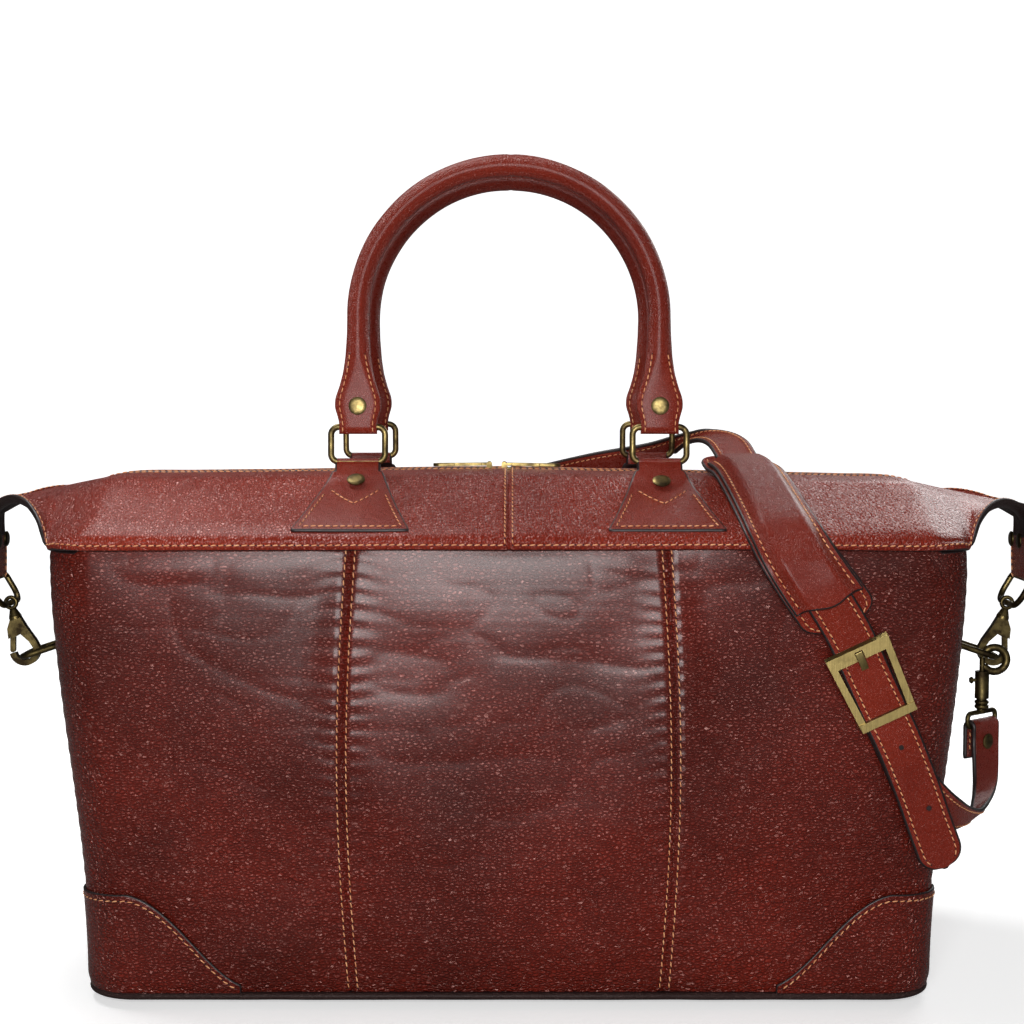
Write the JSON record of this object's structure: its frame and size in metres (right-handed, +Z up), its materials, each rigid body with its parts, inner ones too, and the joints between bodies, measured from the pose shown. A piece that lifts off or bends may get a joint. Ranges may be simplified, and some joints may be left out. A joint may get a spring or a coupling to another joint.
{
  "type": "weekender bag",
  "caption": "Leather weekender bag with zipped top, rolled handles on rings, clipped-down wings and a shoulder strap with pad and buckle.",
  "frame": {"origin": "on the ground under the middle of the base, at the flat bottom of the middle foot", "axes": "+X to the right along the bag's length, seen from the side that carries the pad; +Y to the back; +Z up"},
  "size_m": [0.6892, 0.273, 0.522],
  "materials": {
    "body_leather": "glossy pebbled cognac leather",
    "yoke_leather": "glossy smooth cognac leather",
    "handle_leather": "glossy smooth cognac leather, stitched",
    "strap_leather": "smooth red-brown leather with dark painted edges",
    "dark_leather": "dark edge-painted leather",
    "antique_brass": "brushed antique brass",
    "zip_metal": "gold-toned brass teeth",
    "zip_tape": "woven tape",
    "core": "twisted cotton cord",
    "board": "lined stiffener board"
  },
  "bodies": {
    "bag": {"base_panel": "body_leather", "base_board": "board", "base_piping": "dark_leather", "base_feet": "antique_brass", "front_panel_left": "body_leather", "front_panel_centre": "body_leather", "front_panel_right": "body_leather", "rear_panel_left": "body_leather", "rear_panel_centre": "body_leather", "rear_panel_right": "body_leather", "gusset_left": "body_leather", "gusset_right": "body_leather", "corner_patches": "body_leather", "yoke_front": "yoke_leather", "yoke_rear": "yoke_leather", "zip_tapes": "zip_tape", "zip_teeth_front": "zip_metal", "zip_teeth_rear": "zip_metal", "handle_patches_front": "handle_leather", "handle_patches_rear": "handle_leather", "patch_rivets": "antique_brass", "wing_tab_left": "dark_leather", "wing_tab_right": "dark_leather", "wing_rivets": "antique_brass", "side_loops": "body_leather", "snap_eye_left": "antique_brass", "snap_eye_right": "antique_brass", "strap_long": "strap_leather", "strap_short": "strap_leather", "strap_rivets": "antique_brass", "shoulder_pad_top": "strap_leather", "shoulder_pad_base": "strap_leather", "buckle_frame": "antique_brass", "buckle_tongue": "antique_brass"},
    "front_rings": {"front_rings": "antique_brass"},
    "front_handle": {"front_handle": "handle_leather", "front_handle_core": "core", "front_handle_rivets": "antique_brass"},
    "rear_rings": {"rear_rings": "antique_brass"},
    "rear_handle": {"rear_handle": "handle_leather", "rear_handle_core": "core", "rear_handle_rivets": "antique_brass"},
    "zip_slider_left": {"zip_slider_left": "antique_brass"},
    "zip_slider_right": {"zip_slider_right": "antique_brass"},
    "zip_pull_left": {"zip_pull_left": "antique_brass"},
    "zip_pull_right": {"zip_pull_right": "antique_brass"},
    "wing_ring_left": {"wing_ring_left": "antique_brass"},
    "wing_ring_right": {"wing_ring_right": "antique_brass"},
    "trigger_snap_left": {"trigger_snap_left": "antique_brass"},
    "trigger_snap_right": {"trigger_snap_right": "antique_brass"},
    "trigger_gate_left": {"trigger_gate_left": "antique_brass"},
    "trigger_gate_right": {"trigger_gate_right": "antique_brass"},
    "side_ring_left": {"side_ring_left": "antique_brass"},
    "side_ring_right": {"side_ring_right": "antique_brass"},
    "bolt_snap_left": {"bolt_snap_left": "antique_brass"},
    "bolt_snap_right": {"bolt_snap_right": "antique_brass"},
    "snap_bolt_left": {"snap_bolt_left": "antique_brass"},
    "snap_bolt_right": {"snap_bolt_right": "antique_brass"}
  },
  "joints": [
    {"name": "front_rings_swing", "type": "hinge", "parent": "bag", "child": "front_rings", "pos_m": [0, -0.053, 0.3285], "axis": [1, 0, 0], "range_deg": [-4, 45]},
    {"name": "front_handle_swing", "type": "hinge", "parent": "front_rings", "child": "front_handle", "pos_m": [0, -0.05146, 0.35045], "axis": [1, 0, 0], "range_deg": [-4, 75]},
    {"name": "rear_rings_swing", "type": "hinge", "parent": "bag", "child": "rear_rings", "pos_m": [0, 0.053, 0.3285], "axis": [-1, 0, 0], "range_deg": [-4, 10]},
    {"name": "rear_handle_swing", "type": "hinge", "parent": "rear_rings", "child": "rear_handle", "pos_m": [0, 0.05146, 0.35045], "axis": [-1, 0, 0], "range_deg": [-4, 75]},
    {"name": "zip_left_slide", "type": "slide", "parent": "bag", "child": "zip_slider_left", "axis": [-0.9999, 0, -0.0122], "range_m": [0, 0.205]},
    {"name": "zip_right_slide", "type": "slide", "parent": "bag", "child": "zip_slider_right", "axis": [0.9998, 0, -0.0209], "range_m": [0, 0.205]},
    {"name": "zip_pull_left_flip", "type": "hinge", "parent": "zip_slider_left", "child": "zip_pull_left", "pos_m": [-0.01293, 0, 0.32504], "axis": [0, 1, 0], "range_deg": [0, 140]},
    {"name": "zip_pull_right_flip", "type": "hinge", "parent": "zip_slider_right", "child": "zip_pull_right", "pos_m": [-0.00306, 0, 0.325], "axis": [0, -1, 0], "range_deg": [0, 140]},
    {"name": "wing_ring_right_swing", "type": "hinge", "parent": "bag", "child": "wing_ring_right", "pos_m": [0.3398, 0, 0.25], "axis": [0, 1, 0], "range_deg": [-3, 2]},
    {"name": "trigger_snap_right_swing", "type": "hinge", "parent": "wing_ring_right", "child": "trigger_snap_right", "pos_m": [0.33005, 0, 0.23311], "axis": [0, -1, 0], "range_deg": [-3, 3]},
    {"name": "trigger_gate_right_open", "type": "hinge", "parent": "trigger_snap_right", "child": "trigger_gate_right", "pos_m": [0.3288, 0, 0.21423], "axis": [0, 1, 0], "range_deg": [0, 20], "stiffness_Nm_per_rad": 0.02, "springref_deg": -17.19},
    {"name": "side_ring_right_swing", "type": "hinge", "parent": "bag", "child": "side_ring_right", "pos_m": [0.26882, 0, 0.216], "axis": [0, 1, 0], "range_deg": [-1, 1]},
    {"name": "wing_ring_left_swing", "type": "hinge", "parent": "bag", "child": "wing_ring_left", "pos_m": [-0.3398, 0, 0.25], "axis": [0, -1, 0], "range_deg": [-3, 2]},
    {"name": "trigger_snap_left_swing", "type": "hinge", "parent": "wing_ring_left", "child": "trigger_snap_left", "pos_m": [-0.33005, 0, 0.23311], "axis": [0, 1, 0], "range_deg": [-3, 3]},
    {"name": "trigger_gate_left_open", "type": "hinge", "parent": "trigger_snap_left", "child": "trigger_gate_left", "pos_m": [-0.3288, 0, 0.21423], "axis": [0, -1, 0], "range_deg": [0, 20], "stiffness_Nm_per_rad": 0.02, "springref_deg": -17.19},
    {"name": "side_ring_left_swing", "type": "hinge", "parent": "bag", "child": "side_ring_left", "pos_m": [-0.26882, 0, 0.216], "axis": [0, -1, 0], "range_deg": [-1, 1]},
    {"name": "bolt_snap_right_swivel", "type": "hinge", "parent": "bag", "child": "bolt_snap_right", "pos_m": [0.31218, -0.0085, 0.1987], "axis": [0, 0, 1], "range_deg": [-6, 6]},
    {"name": "snap_bolt_right_slide", "type": "slide", "parent": "bolt_snap_right", "child": "snap_bolt_right", "axis": [0, 0, -1], "range_m": [0, 0.008], "stiffness_N_per_m": 150, "springref_m": -0.004},
    {"name": "bolt_snap_left_swivel", "type": "hinge", "parent": "bag", "child": "bolt_snap_left", "pos_m": [-0.29032, 0.037, 0.2172], "axis": [0, 1, 0], "range_deg": [-6, 6]},
    {"name": "snap_bolt_left_slide", "type": "slide", "parent": "bolt_snap_left", "child": "snap_bolt_left", "axis": [0, 1, 0], "range_m": [0, 0.008], "stiffness_N_per_m": 150, "springref_m": -0.004}
  ]
}
